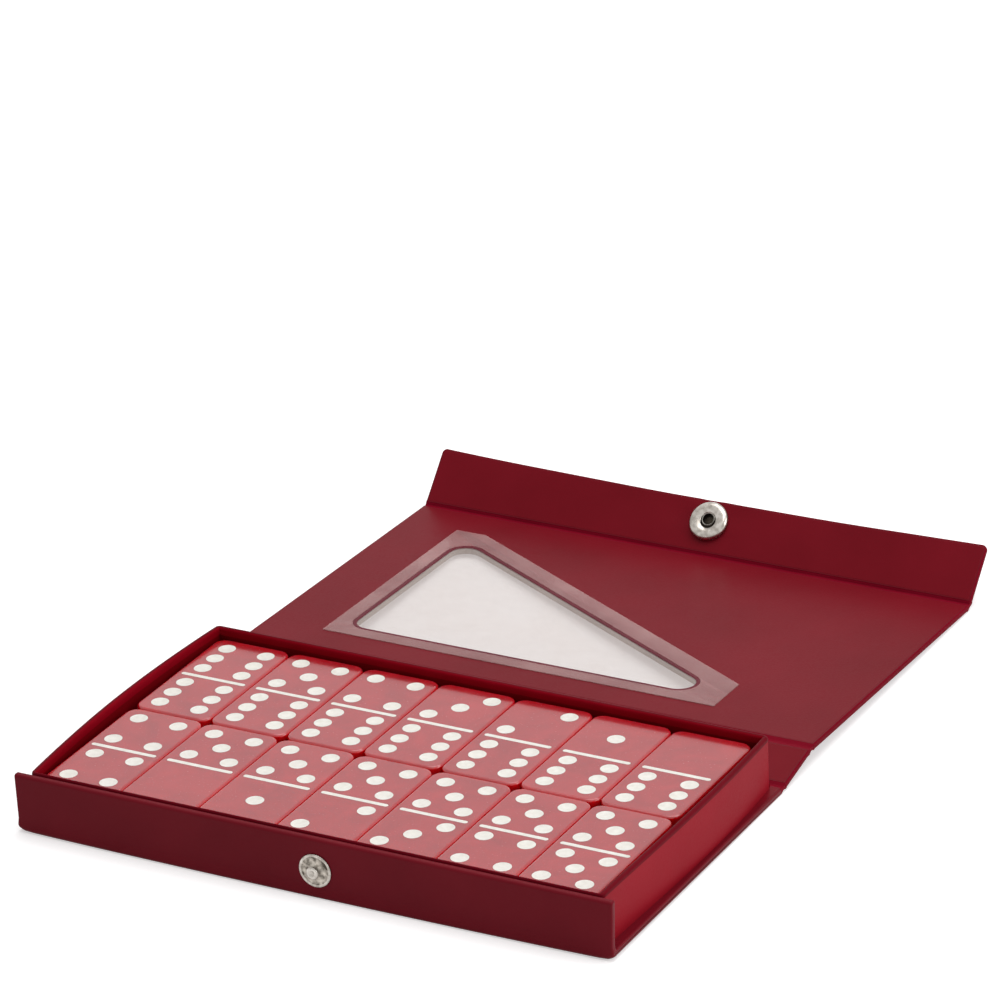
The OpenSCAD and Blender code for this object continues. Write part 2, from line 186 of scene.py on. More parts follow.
def slab(loops, low, high, r_low, r_high, steps=4):
    """A flat sheet with rounded edges. The first outline runs counter-clockwise, holes clockwise."""
    bm = bmesh.new()
    ends = ([], [])
    for loop in loops:
        rings = []
        for z, r, up in ((low, r_low, -1), (high, r_high, 1)):
            for i in range(steps + 1):
                a = math.pi / 2 * (steps - i if up < 0 else i) / steps
                height = z - up * r * (1 - math.sin(a))
                ring = inset(loop, r * (1 - math.cos(a)))
                rings.append([bm.verts.new((p.x, p.y, height)) for p in ring])
        for lower, upper in zip(rings, rings[1:]):
            for i in range(len(loop)):
                bm.faces.new((lower[i - 1], lower[i], upper[i], upper[i - 1]))
        ends[0].append((inset(loop, r_low), rings[0]))
        ends[1].append((inset(loop, r_high), rings[-1]))
    for end in ends:
        verts = [v for _, ring in end for v in ring]
        for tri in tessellate_polygon([[Vector((p.x, p.y, 0)) for p in points] for points, _ in end]):
            corners = [verts[i] for i in tri]
            if len(set(corners)) == 3 and not bm.faces.get(corners):
                bm.faces.new(corners)
    return bm


def slice_up(bm, axis, low, high, count):
    """Cuts a mesh into count strips along an axis, so that it can be bent."""
    normal = [0, 0, 0]
    normal[axis] = 1
    for i in range(1, count):
        at = [low + (high - low) * i / count if k == axis else 0 for k in range(3)]
        parts = bm.verts[:] + bm.edges[:] + bm.faces[:]
        bmesh.ops.bisect_plane(bm, geom=parts, plane_co=at, plane_no=normal, dist=1e-7)


def bend(bm, move):
    """Moves every point of a mesh to where a function takes it."""
    for v in bm.verts:
        v.co = move(v.co)


def lathe(profile, where, segments=64, closed=False, wobble=None):
    """Turns a profile of (radius, height) points, in mm, about the local Z axis."""
    bm = bmesh.new()
    rings = []
    for r, h in ((r * MM, h * MM) for r, h in profile):
        if r == 0:
            rings.append([bm.verts.new((0, 0, h))])
            continue
        ring = []
        for i in range(segments):
            a = 2 * math.pi * i / segments
            up = wobble(r, a) if wobble else 0
            ring.append(bm.verts.new((r * math.cos(a), r * math.sin(a), h + up)))
        rings.append(ring)
    pairs = list(zip(rings, rings[1:])) + ([(rings[-1], rings[0])] if closed else [])
    for lower, upper in pairs:
        for i in range(segments):
            quad = []
            for v in (lower[(i - 1) % len(lower)], lower[i % len(lower)],
                      upper[i % len(upper)], upper[(i - 1) % len(upper)]):
                if v not in quad:
                    quad.append(v)
            bm.faces.new(quad)
    bm.transform(where)
    return bm


# ---- Materials ----

def new_material(name):
    """A material, its node tree and its shader."""
    material = bpy.data.materials.new(name)
    material.use_nodes = True
    return material, material.node_tree, material.node_tree.nodes["Principled BSDF"]


def srgb(text):
    """Linear colour from a hex triplet."""
    values = [int(text[i:i + 2], 16) / 255 for i in (1, 3, 5)]
    return tuple(v / 12.92 if v <= 0.04045 else ((v + 0.055) / 1.055) ** 2.4 for v in values) + (1,)


def texture(tree, kind, **inputs):
    """A texture node with its inputs set by name."""
    node = tree.nodes.new(kind)
    for key, value in inputs.items():
        node.inputs[key.replace("_", " ").title()].default_value = value
    return node


def coordinates(tree):
    """The case's own coordinates at rest, which ride with each piece."""
    return tree.nodes.new("ShaderNodeTexCoord").outputs["Object"]


def mix_colour(tree, factor, first, second):
    """Mixes two colours. The first is a constant or another node's output."""
    node = tree.nodes.new("ShaderNodeMix")
    node.data_type = "RGBA"
    tree.links.new(factor, node.inputs["Factor"])
    if isinstance(first, tuple):
        node.inputs["A"].default_value = first
    else:
        tree.links.new(first, node.inputs["A"])
    node.inputs["B"].default_value = second
    return node.outputs["Result"]


def spread(tree, value, low, high, to_low=0.0, to_high=1.0):
    """Maps a value from one range to another, clamped."""
    node = tree.nodes.new("ShaderNodeMapRange")
    for key, number in zip(("From Min", "From Max", "To Min", "To Max"), (low, high, to_low, to_high)):
        node.inputs[key].default_value = number
    tree.links.new(value, node.inputs["Value"])
    return node.outputs["Result"]


def bump(tree, bsdf, height, strength, distance, previous=None):
    """Roughens a surface by a height, on top of an earlier bump if there is one."""
    node = tree.nodes.new("ShaderNodeBump")
    node.inputs["Strength"].default_value = strength
    node.inputs["Distance"].default_value = distance
    tree.links.new(height, node.inputs["Height"])
    if previous:
        tree.links.new(previous.outputs["Normal"], node.inputs["Normal"])
    tree.links.new(node.outputs["Normal"], bsdf.inputs["Normal"])
    return node


def leatherette(name, dark, light, roughness, grain, gloss):
    """Vinyl with a fine pebbled grain: cells for the pebbles, noise for the press marks between them."""
    material, tree, bsdf = new_material(name)
    at = coordinates(tree)
    cells = texture(tree, "ShaderNodeTexVoronoi", scale=grain)
    cells.feature = "SMOOTH_F1"
    marks = texture(tree, "ShaderNodeTexNoise", scale=grain * 0.45, detail=5.0, roughness=0.6)
    cloud = texture(tree, "ShaderNodeTexNoise", scale=28.0, detail=4.0, roughness=0.55)
    for node in (cells, marks, cloud):
        tree.links.new(at, node.inputs["Vector"])
    tint = mix_colour(tree, spread(tree, cloud.outputs["Fac"], 0.3, 0.7), dark, light)
    tree.links.new(tint, bsdf.inputs["Base Color"])
    tree.links.new(spread(tree, marks.outputs["Fac"], 0.3, 0.7, roughness - 0.06, roughness + 0.07),
                   bsdf.inputs["Roughness"])
    first = bump(tree, bsdf, cells.outputs["Distance"], 0.22, 0.06 * MM)
    bump(tree, bsdf, marks.outputs["Fac"], 0.25, 0.08 * MM, first)
    bsdf.inputs["Specular IOR Level"].default_value = gloss
    return material


def board_material():
    """Grey bookbinder's board with short fibres."""
    material, tree, bsdf = new_material("grey_board")
    at = coordinates(tree)
    fibres = texture(tree, "ShaderNodeTexNoise", scale=2200.0, detail=6.0, roughness=0.7)
    layers = texture(tree, "ShaderNodeTexWave", scale=900.0, distortion=6.0, detail=3.0)
    layers.bands_direction = "Z"
    for node in (fibres, layers):
        tree.links.new(at, node.inputs["Vector"])
    tint = mix_colour(tree, spread(tree, fibres.outputs["Fac"], 0.3, 0.7), srgb("#a0978e"), srgb("#cac3ba"))
    tree.links.new(tint, bsdf.inputs["Base Color"])
    first = bump(tree, bsdf, fibres.outputs["Fac"], 0.4, 0.1 * MM)
    bump(tree, bsdf, layers.outputs["Fac"], 0.2, 0.05 * MM, first)
    bsdf.inputs["Roughness"].default_value = 0.92
    return material


def film_material(name, clear, hazy, dark, light):
    """Vinyl film with a faint haze and shallow waves."""
    material, tree, bsdf = new_material(name)
    at = coordinates(tree)
    haze = texture(tree, "ShaderNodeTexNoise", scale=60.0, detail=4.0, roughness=0.6)
    waves = texture(tree, "ShaderNodeTexNoise", scale=45.0, detail=2.0)
    for node in (haze, waves):
        tree.links.new(at, node.inputs["Vector"])
    tint = mix_colour(tree, spread(tree, haze.outputs["Fac"], 0.3, 0.7), srgb(dark), srgb(light))
    tree.links.new(tint, bsdf.inputs["Base Color"])
    tree.links.new(spread(tree, haze.outputs["Fac"], 0.3, 0.7, clear, hazy), bsdf.inputs["Alpha"])
    bump(tree, bsdf, waves.outputs["Fac"], 0.12, 0.4 * MM)
    bsdf.inputs["Roughness"].default_value = 0.18
    bsdf.inputs["IOR"].default_value = 1.5
    return material


def metal_material(name, dark, light, roughness):
    """Nickel plate with fine scratches and a mottle: a little tarnish, and on the stud's dish painted dark
    reflections.
    """
    material, tree, bsdf = new_material(name)
    at = coordinates(tree)
    tarnish_and_reflection = texture(tree, "ShaderNodeTexNoise", scale=620.0, detail=2.5, roughness=0.5)
    scratches = texture(tree, "ShaderNodeTexNoise", scale=5000.0, detail=3.0)
    for node in (tarnish_and_reflection, scratches):
        tree.links.new(at, node.inputs["Vector"])
    tint = mix_colour(tree, spread(tree, tarnish_and_reflection.outputs["Fac"], 0.35, 0.65), dark, light)
    tree.links.new(tint, bsdf.inputs["Base Color"])
    tree.links.new(spread(tree, tarnish_and_reflection.outputs["Fac"], 0.3, 0.7, roughness + 0.08, roughness),
                   bsdf.inputs["Roughness"])
    bump(tree, bsdf, scratches.outputs["Fac"], 0.12, 0.02 * MM)
    bsdf.inputs["Metallic"].default_value = 1.0
    return material


def domino_material():
    """Polished translucent red plastic, with faint swirls inside. Its sides are painted a brighter, purer red, a
    painted glow for light that passes through the plastic.
    """
    material, tree, bsdf = new_material("domino_red")
    at = coordinates(tree)
    swirl = texture(tree, "ShaderNodeTexNoise", scale=90.0, detail=4.0, roughness=0.6, distortion=0.8)
    polish = texture(tree, "ShaderNodeTexNoise", scale=1500.0, detail=4.0, roughness=0.6)
    for node in (swirl, polish):
        tree.links.new(at, node.inputs["Vector"])
    top = mix_colour(tree, spread(tree, swirl.outputs["Fac"], 0.3, 0.7), srgb("#9c121e"), srgb("#b01924"))
    # Painted glow: faces that turn sideways get a brighter, purer red, for light that passes through the plastic.
    facing = tree.nodes.new("ShaderNodeSeparateXYZ")
    tree.links.new(tree.nodes.new("ShaderNodeTexCoord").outputs["Normal"], facing.inputs["Vector"])
    painted_glow_share = spread(tree, facing.outputs["Z"], 0.3, 0.8, 1.0, 0.0)
    tree.links.new(mix_colour(tree, painted_glow_share, top, srgb("#c8141c")), bsdf.inputs["Base Color"])
    tree.links.new(spread(tree, polish.outputs["Fac"], 0.3, 0.7, 0.2, 0.28), bsdf.inputs["Roughness"])
    bump(tree, bsdf, polish.outputs["Fac"], 0.05, 0.02 * MM)
    bsdf.inputs["IOR"].default_value = 1.5
    bsdf.inputs["Subsurface Weight"].default_value = 0.7
    bsdf.inputs["Subsurface Radius"].default_value = (1.0, 0.06, 0.06)
    bsdf.inputs["Subsurface Scale"].default_value = 4 * MM
    bsdf.inputs["Coat Weight"].default_value = 0.65
    bsdf.inputs["Coat Roughness"].default_value = 0.1
    return material


def paint_material():
    """White enamel in the pips and grooves, a little uneven."""
    material, tree, bsdf = new_material("white_enamel")
    at = coordinates(tree)
    uneven = texture(tree, "ShaderNodeTexNoise", scale=600.0, detail=4.0, roughness=0.6)
    tree.links.new(at, uneven.inputs["Vector"])
    tint = mix_colour(tree, spread(tree, uneven.outputs["Fac"], 0.3, 0.7), srgb("#dcd8cf"), srgb("#ebe8e1"))
    tree.links.new(tint, bsdf.inputs["Base Color"])
    bump(tree, bsdf, uneven.outputs["Fac"], 0.2, 0.05 * MM)
    bsdf.inputs["Roughness"].default_value = 0.35
    return material


COVER = leatherette("leatherette", srgb("#640c19"), srgb("#6f111e"), 0.42, 2600.0, 0.07)
LINING = leatherette("lining", srgb("#6c0d19"), srgb("#76111e"), 0.34, 3400.0, 0.05)
TRAY_OUT = leatherette("tray_paper", srgb("#8a1421"), srgb("#951926"), 0.42, 2800.0, 0.03)
# Painted shade: the tray's inside wears darker copies of its paper, darkest low down and on the floor, a little
# lighter along the lip near the rim.
TRAY_INSIDE_SHADE = leatherette("tray_paper_painted_shade", srgb("#5e0209"), srgb("#6a040d"), 0.42, 2800.0, 0.03)
TRAY_LIP_SHADE = leatherette("tray_lip_painted_shade", srgb("#750210"), srgb("#820416"), 0.42, 2800.0, 0.02)
# Painted shade: the rim and the top of its outer rounding wear a darker red than the outer wall.
RIM_SHADE = leatherette("tray_rim_painted_shade", srgb("#5e0412"), srgb("#690717"), 0.4, 2800.0, 0.03)
EDGE = leatherette("turned_edge", srgb("#6c0619"), srgb("#780a1f"), 0.5, 2600.0, 0.015)
FOLD_IN = leatherette("fold_inside", srgb("#72081c"), srgb("#7e0c22"), 0.45, 3400.0, 0.015)
WELD = leatherette("weld_line", srgb("#56091c"), srgb("#681024"), 0.3, 3000.0, 0.1)
BOARD = board_material()
FILM_LAP = film_material("film_lap", 0.3, 0.38, "#d8a2a2", "#e2b0ae")
FILM_PANE = film_material("film_pane", 0.24, 0.3, "#b3a09a", "#bfaca5")
NICKEL = metal_material("nickel", srgb("#9d968e"), srgb("#c6c0b8"), 0.22)
# Painted reflection: dark mottled nickel on the stud's dish, for the dark things the dish reflects.
DISH_REFLECTION = metal_material("nickel_painted_reflection", srgb("#4c453d"), srgb("#b9b1a6"), 0.3)
CAP = metal_material("cap_nickel", srgb("#aba49b"), srgb("#bab3aa"), 0.26)
# Painted shade: near-black metal for the socket's bore, the disc at its bottom and the rivet in it.
BORE_SHADE = metal_material("painted_bore_shade", srgb("#241f19"), srgb("#3a342c"), 0.5)
WIRE = metal_material("spring_wire", srgb("#5e5b54"), srgb("#8a8680"), 0.35)
RED = domino_material()
WHITE = paint_material()


def dress(node, material):
    """Gives a CAD node its material."""
    slots = frame["nodes"][node].data.materials
    slots.clear()
    slots.append(material)


# ---- Panels of the cover ----

WINDOW_LEFT, WINDOW_NEAR = -65.5 * MM, 17.8 * MM   # the window's square corner, on the lid
WINDOW_W, WINDOW_L = 122.6 * MM, 69.5 * MM
WINDOW_R = 5.0 * MM
WINDOW_STEP = 0.25 * MM  # how much further out the leatherette's opening lies than the lining's

FLAT_NORMAL = 0.95       # a face whose normal's z is below this wears the turned edge's colour
STRIPS, ROWS = 60, 8     # cuts along and across a panel that bends

AT_SPINE = place(PIVOT_A, SPINE_SLOPE)
AT_LID = place(PIVOT_B, LID_SLOPE)
AT_FLAP = place(PIVOT_C, FLAP_SLOPE)


def window_outline(grow=0.0):
    """Clockwise outline of the window, moved outwards by grow."""
    corners = [(WINDOW_LEFT, WINDOW_NEAR, WINDOW_R), (WINDOW_LEFT + WINDOW_W, WINDOW_NEAR, WINDOW_R),
               (WINDOW_LEFT, WINDOW_NEAR + WINDOW_L, WINDOW_R)]
    return inset(rounded_loop(corners), -grow)[::-1]


def sheet_outline(start, stop, margin, far_r):
    """Outline of a sheet as long as the case, drawn in by a margin, with its far corners rounded."""
    w, near, far = HALF_W - margin, start + margin, stop - margin
    r = max(0, far_r - margin)
    return rounded_loop([(-w, near, 0), (w, near, 0), (w, far, r), (-w, far, r)])


def panel(name, body, where, start, stop, far_r=0.0, holes=(), move=None, hides=()):
    """The leatherette and the lining of one panel. They run along the panel's own second axis."""
    cover = slab([sheet_outline(start, stop, 0, far_r)] + [hole(WINDOW_STEP) for hole in holes],
                 -HALF_T, HALF_T - LINING_PROUD, EDGE_R, INNER_EDGE_R)
    cover.normal_update()
    for face in cover.faces:
        face.material_index = int(abs(face.normal.z) < FLAT_NORMAL)
    lining = slab([sheet_outline(start, stop, TURN_IN, far_r)] + [hole() for hole in holes],
                  HALF_T - SKIN_T, HALF_T, 0.0, LINING_R)
    for bm in (cover, lining):
        if move:
            slice_up(bm, 0, -HALF_W, HALF_W, STRIPS)
            slice_up(bm, 1, start, stop, ROWS)
            bend(bm, move)
        bm.transform(where)
    finish_mesh(name + "_leatherette", cover, body, (COVER, EDGE), [name + "_cover", *hides])
    finish_mesh(name + "_lining_sheet", lining, body, (LINING, EDGE), [name + "_lining"])


FLAP_SAG = 1.3 * MM      # how far the middle of the flap's free edge sags
SAG_DOWN, SAG_OUT = -0.97, -0.15   # it goes mostly in the flap's own plane, and a little outwards
PUCKER = 0.22 * MM       # height of the soft wrinkles round the snap
PUCKER_R = 8 * MM        # how far from the snap's centre they are highest
PUCKER_W = 4 * MM        # how fast they fade from there
WRINKLES = 5             # how many there are round the snap
FLAP_WAVE = 0.12 * MM    # height of the slow waves along the flap


def flap_shape(co):
    """The free edge sags along its middle, and the skin puckers round the snap."""
    share = smooth(co.y / FLAP_L)
    sag = FLAP_SAG * share * crown(co.x)
    away = Vector((co.x - SNAP_X, co.y - SNAP_DROP))
    ring = math.exp(-((away.length - PUCKER_R) / PUCKER_W) ** 2) * share
    wrinkle = PUCKER * ring * math.cos(WRINKLES * math.atan2(away.y, away.x) + 0.6)
    wave = FLAP_WAVE * math.sin(co.x / (9 * MM)) * share
    return co + Vector((0, SAG_DOWN * sag, SAG_OUT * sag + wrinkle + wave))


panel("spine", "spine", AT_SPINE, SETBACK, SPINE_L - SETBACK)
panel("lid", "lid", AT_LID, SETBACK, LID_L - SETBACK, holes=[window_outline])
panel("flap", "flap", AT_FLAP, SETBACK, FLAP_L, FREE_R, move=flap_shape, hides=["flap_board"])


# ---- Base and front panel: one sheet folded up along the front ----

FOLD_R = 1.7 * MM        # outer rounding along the front's lower fold
FOLD_BULGE = 1.3 * MM    # how far the fold swells outwards halfway along
FOLD_HIGH = 5.0 * MM     # height over which it swells
PINCH = 1.2 * MM         # how far the fold is drawn up at its ends
PINCH_L = 2.6 * MM       # length of the drawn-up part
TOP_FLARE = 0.9 * MM     # how far each end of the front panel flares out at its top
FLARE_FROM, FLARE_OVER = 80 * MM, 10 * MM   # from the case's middle, where the flare starts and its length
FRONT_STARTS = -49 * MM  # the shape acts ahead of this place
BLEND_OVER = 1.2 * MM    # and comes in fully over this length
TOP_OUT_R, TOP_IN_R = 0.9 * MM, 0.6 * MM    # rounding along the front panel's top
INSIDE_R = 0.4 * MM      # the corner between the base and the front panel, inside
END_R = 0.6 * MM         # rounding round the sheet's two ends
ENDWAYS = Matrix(((0, 0, 1, 0), (1, 0, 0, 0), (0, 1, 0, 0), (0, 0, 0, 1)))   # a section's z runs along x


def front_shape(co):
    """The fold swells in its middle and is drawn up at its ends, and the front panel flares upwards."""
    x, y, z = co
    ahead = smooth((FRONT_STARTS - y) / BLEND_OVER)
    low = max(0.0, 1 - z / FOLD_HIGH) ** 2
    y -= FOLD_BULGE * low * crown(x) ** 0.7 * ahead
    end = max(0.0, abs(x) - HALF_W + PINCH_L) / PINCH_L
    z += PINCH * end ** 1.5 * max(0.0, 1 - z / FOLD_HIGH) * ahead
    flare = TOP_FLARE * (2 * co.z / FRONT_HIGH.z - 1) * ahead * smooth((abs(x) - FLARE_FROM) / FLARE_OVER)
    return Vector((x + math.copysign(flare, x), y, z))


def base_and_front():
    """The sheet's section is drawn across the case and runs from one end to the other."""
    low, top, floor = 0.0, FRONT_HIGH.z, PANEL_T - LINING_PROUD
    face, inner = FRONT_LOW.y, FRONT_HIGH.y - LINING_PROUD
    corners = [(BASE_HIGH.y, low, EDGE_R), (BASE_HIGH.y, floor, INNER_EDGE_R), (inner, floor, INSIDE_R),
               (inner, top, TOP_IN_R), (face, top, TOP_OUT_R), (face, low, FOLD_R)]
    bm = slab([rounded_loop(corners)], -HALF_W, HALF_W, END_R, END_R)
    slice_up(bm, 2, -HALF_W, -HALF_W + PINCH_L, 4)
    slice_up(bm, 2, HALF_W - PINCH_L, HALF_W, 4)
    slice_up(bm, 2, -HALF_W, HALF_W, 40)
    bm.transform(ENDWAYS)
    slice_up(bm, 2, 0.0, FOLD_HIGH, 5)
    bend(bm, front_shape)
    finish_mesh("base_and_front_leatherette", bm, "case_base", COVER,
                ["base_cover", "front_cover", "front_crease", "front_lining"], 60)
    sheet = slab([sheet_outline(inner + INSIDE_R, BASE_HIGH.y, TURN_IN, 0)],
                 PANEL_T - SKIN_T, PANEL_T, 0, LINING_R)
    finish_mesh("base_lining_sheet", sheet, "case_base", LINING, ["base_lining"])


base_and_front()


# ---- Creases: the thin, soft strips between the panels ----

CREASE_HALF = 1.9 * MM    # from the crease line to the strip's end, inside the panel
CREASE_BEND = 1.0 * MM    # the strip bends over this much on each side of the crease line
CREASE_THIN = 0.3 * MM    # from the crease line to its outer face
CREASE_IN = 0.6 * MM      # from the crease line to its inner face
CREASE_OUTER = 0.8 * MM   # the same at the strip's ends, to the outer face
CREASE_INNER = 0.93 * MM  # and to the inner face
CREASE_RISE = 1.45 * MM   # length over which the thickness grows from the crease line
CREASE_SHORT = 0.06 * MM  # how much shorter than the case the strip is at each end
CREASE_SOFT = 0.08 * MM   # height of its soft unevenness
CREASE_STEPS = 24         # places across the strip
CREASE_SECTIONS = 72      # lengths along it


def crease_profile(angle_a, angle_b):
    """Places across a strip: the distance from the crease line, the centre and the normal."""
    along_a, along_b = (Vector((0, math.cos(a), math.sin(a))) for a in (angle_a, angle_b))
    turn = angle_b - angle_a
    radius = CREASE_BEND / math.tan(abs(turn) / 2)
    profile = []
    for k in range(CREASE_STEPS + 1):
        s = -CREASE_HALF + 2 * CREASE_HALF * k / CREASE_STEPS
        if s <= -CREASE_BEND or s >= CREASE_BEND:
            angle, along = (angle_a, along_a) if s < 0 else (angle_b, along_b)
            centre = along * s
        else:
            share = (s + CREASE_BEND) / (2 * CREASE_BEND)
            angle = angle_a + turn * share
            centre = -along_a * CREASE_BEND
            chord = 2 * radius * math.sin(abs(turn) * share / 2)
            middle = angle_a + turn * share / 2
            centre = centre + chord * Vector((0, math.cos(middle), math.sin(middle)))
        profile.append((s, centre, Vector((0, -math.sin(angle), math.cos(angle)))))
    return profile


def crease(name, node, at, angle_a, angle_b):
    """A strip that bends between two panels. It is thin at the crease and fills the panels' ends."""
    profile = crease_profile(angle_a, angle_b)
    bm = bmesh.new()
    rings = []
    for i in range(CREASE_SECTIONS + 1):
        x = (HALF_W - CREASE_SHORT) * (2 * i / CREASE_SECTIONS - 1)
        soft = noise.noise(Vector((x / (11 * MM), at.y / MM, 0.3)))
        ring = []
        for side, full, thin in ((1, CREASE_INNER, CREASE_IN), (-1, CREASE_OUTER, CREASE_THIN)):
            run = profile if side > 0 else profile[::-1]
            for s, centre, normal in run:
                rise = smooth(abs(s) / CREASE_RISE) ** 1.4
                height = thin + (full - thin) * rise + CREASE_SOFT * soft * (1 - rise)
                ring.append(bm.verts.new(at + Vector((x, 0, 0)) + centre + side * height * normal))
        rings.append(ring)
    half = len(profile)
    for a, b in zip(rings, rings[1:]):
        for j in range(len(a)):
            face = bm.faces.new((a[j - 1], a[j], b[j], b[j - 1]))
            face.material_index = 0 if 0 < j < half else 1
    for ring in (rings[0], rings[-1]):
        bm.faces.new(ring)
    piece = finish_mesh(name, bm, None, (FOLD_IN, COVER), [node], 60, weighted=False)
    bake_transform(piece)


crease("base_fold", "base_crease", PIVOT_A, 0.0, SPINE_SLOPE)
crease("spine_fold", "spine_crease", PIVOT_B, SPINE_SLOPE, LID_SLOPE)
crease("lid_fold", "lid_crease", PIVOT_C, LID_SLOPE, FLAP_SLOPE)


# ---- Window film ----

BEAD_W = 1.2 * MM        # burgundy line pressed round the window
BEAD_PROUD = 0.2 * MM    # how far it stands above the lining
BEAD_R = 0.18 * MM       # its rounding
FILM_T = 0.3 * MM
FILM_R = 0.4 * MM        # the film's corners
FILM_EDGE_R = 0.1 * MM   # rounding along its edges
FILM_LAP_W, SLOPE_LAP_W, TOP_LAP_W = 6.0 * MM, 7.8 * MM, 6.7 * MM   # its lap: left and near, slope, far
TIP_CUT = 2.6 * MM       # how far before the window's right tip the film ends
PANE_LAP = 0.3 * MM      # the clear pane runs this far under the pressed line
PANE_LOW, PANE_HIGH = -0.1 * MM, 0.05 * MM   # its two faces, from the lining's


def film_outline():
    """Counter-clockwise outline of the film, cut off short at the window's two sharp tips."""
    rise = WINDOW_L / WINDOW_W
    shift = SLOPE_LAP_W * math.hypot(WINDOW_W, WINDOW_L) / WINDOW_W
    left, near = WINDOW_LEFT - FILM_LAP_W, WINDOW_NEAR - FILM_LAP_W
    right, top = WINDOW_LEFT + WINDOW_W - TIP_CUT, WINDOW_NEAR + WINDOW_L + TOP_LAP_W
    base = WINDOW_NEAR + shift
    corners = [(left, near), (right, near), (right, base + (WINDOW_LEFT + WINDOW_W - right) * rise),
               (WINDOW_LEFT + WINDOW_W - (top - base) / rise, top), (left, top)]
    return rounded_loop([(x, y, FILM_R) for x, y in corners])


def film_pieces():
    """The film's lap on the lining, the line pressed round the window, and the clear pane in it."""
    lap = slab([film_outline(), window_outline(BEAD_W)], HALF_T, HALF_T + FILM_T, 0, FILM_EDGE_R)
    lap.transform(AT_LID)
    finish_mesh("film_lap", lap, "lid", FILM_LAP, ["window_film"])
    bead = slab([window_outline(BEAD_W)[::-1], window_outline()],
                HALF_T - SKIN_T, HALF_T + BEAD_PROUD, 0, BEAD_R)
    bead.transform(AT_LID)
    finish_mesh("window_weld", bead, "lid", WELD)
    pane = slab([window_outline(PANE_LAP)[::-1]], HALF_T + PANE_LOW, HALF_T + PANE_HIGH, 0, 0)
    pane.transform(AT_LID)
    finish_mesh("window_pane", pane, "lid", FILM_PANE)


film_pieces()


# ---- Tray: paper-covered walls that bow a little ----

TRAY_X, TRAY_Y = WRAP_HIGH.x - WALL_T, WRAP_HIGH.y - WALL_T   # inside half length and half width
RIM_DROP = {(-1, -1): 0.35, (1, -1): 0.35, (1, 1): 0.35, (-1, 1): -0.15}   # mm below the rim, by corner
LEAN_FRONT = 0.8 * MM    # the front wall thins towards its rim
BOWS = {                 # mm outwards at the rim and at the foot, and where along the wall it peaks
    "front": (0.0, 0.0, 0.5), "right": (0.9, 1.6, 0.6), "rear": (0.25, 0.1, 0.5), "left": (2.6, 0.6, 0.5),
}
FOOT_Z = PANEL_T
LONG_STEPS, SHORT_STEPS, CORNER_STEPS = 44, 30, 6   # places along a wall and round a corner


def bow(share, peak):
    """0 at both ends of a wall and 1 at its peak."""
    power = math.log(0.5) / math.log(peak)
    return math.sin(math.pi * share ** power) ** 0.9 if 0 < share < 1 else 0.0


def tray_stations():
    """Places round the wall: the inner point, the way out, the side and how far along it."""
    corners = [(-1, -1), (1, -1), (1, 1), (-1, 1)]
    normals = {"front": (0, -1), "right": (1, 0), "rear": (0, 1), "left": (-1, 0)}
    stations = []
    for i, side in enumerate(normals):
        a, b = (Vector((c[0] * TRAY_X, c[1] * TRAY_Y)) for c in (corners[i], corners[(i + 1) % 4]))
        out = Vector(normals[side])
        count = LONG_STEPS if side in ("front", "rear") else SHORT_STEPS
        for k in range(count + 1):
            stations.append((a.lerp(b, k / count), out, side, k / count))
        turned = Vector((-out.y, out.x))
        for k in range(1, CORNER_STEPS):
            angle = math.pi / 2 * k / CORNER_STEPS
            stations.append((b, out * math.cos(angle) + turned * math.sin(angle), side, 1.0))
    return stations


def rim_tilt(x, y):
    """How many mm the rim lies low at a place, worked out between its four corners."""
    return sum([drop * (1 + sx * x / TRAY_X) * (1 + sy * y / TRAY_Y) / 4
                for (sx, sy), drop in RIM_DROP.items()])


def tray():
    """The wall's section, from the foot inside over the rim to the foot outside, carried round the tray.

    Its points are the share of the wall's thickness and the mm below the rim, or None at the foot."""
    profile = [(0, None), (0, 2.3), (0, 1.5), (0.02, 0.8), (0.1, 0.4), (0.26, 0.12), (0.5, 0.0),
               (0.74, 0.1), (0.9, 0.36), (0.98, 0.75), (1, 1.3), (1, 4.0), (1, None)]
    # Painted shade: the inside, the lip and the rim wear darker copies of the outer paper.
    outside, inside, rim_shade, lip_shade = range(4)
    zones = [outside, inside] + [lip_shade] * 4 + [rim_shade] * 5 + [outside] * 2
    bm = bmesh.new()
    rings = []
    for inner, out, side, share in tray_stations():
        rim = RIM_Z - rim_tilt(inner.x, inner.y) * MM
        at_rim, at_foot, peak = BOWS[side]
        ring = []
        for t, drop in profile:
            z = FOOT_Z if drop is None else rim - drop * MM
            up = (z - FOOT_Z) / (RIM_Z - FOOT_Z)
            swell = (at_foot + (at_rim - at_foot) * up) * MM * bow(share, peak)
            point = inner + out * (t * WALL_T + swell)
            if inner.y < -TRAY_Y + 1e-6:
                point.y -= LEAN_FRONT * (1 - t) * up ** 3
            ring.append(bm.verts.new((point.x, point.y, z)))
        rings.append(ring)
    for a, b in zip(rings, rings[1:] + rings[:1]):
        for j in range(len(profile)):
            face = bm.faces.new((a[j - 1], a[j], b[j], b[j - 1]))
            face.material_index = zones[j]
    finish_mesh("tray_walls", bm, "case_base", (TRAY_OUT, TRAY_INSIDE_SHADE, RIM_SHADE, TRAY_LIP_SHADE),
                ["tray_wrap", "tray_wall_front", "tray_wall_rear", "tray_wall_left", "tray_wall_right"], 60)


tray()


# ---- Snap ----

